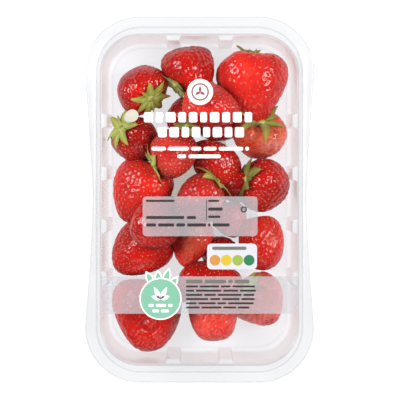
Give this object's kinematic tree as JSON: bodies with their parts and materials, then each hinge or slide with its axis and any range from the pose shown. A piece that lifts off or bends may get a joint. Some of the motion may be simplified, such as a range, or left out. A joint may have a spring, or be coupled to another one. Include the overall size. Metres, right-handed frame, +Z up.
{
  "type": "punnet of strawberries",
  "caption": "Clear formed punnet of strawberries with stacking ribs, a waisted flange and a printed sealing film over its mouth.",
  "frame": {"origin": "middle of the flat base, on the surface that the punnet stands on", "axes": "+Y along the length of the tray, +X across it, +Z up from the base towards the film"},
  "size_m": [0.117, 0.187, 0.045],
  "materials": {
    "clear_tray": "clear glossy formed sheet",
    "clear_film": "clear glossy film with a plain printed design",
    "absorbent_pad": "matt embossed tissue",
    "strawberry": "ripe glossy red fruit with pale seeds and green sepals"
  },
  "bodies": {
    "root": {"tray": "clear_tray", "rim": "clear_tray", "floor": "clear_tray", "film": "clear_film", "pad": "absorbent_pad", "strawberries": "strawberry"}
  },
  "joints": []
}
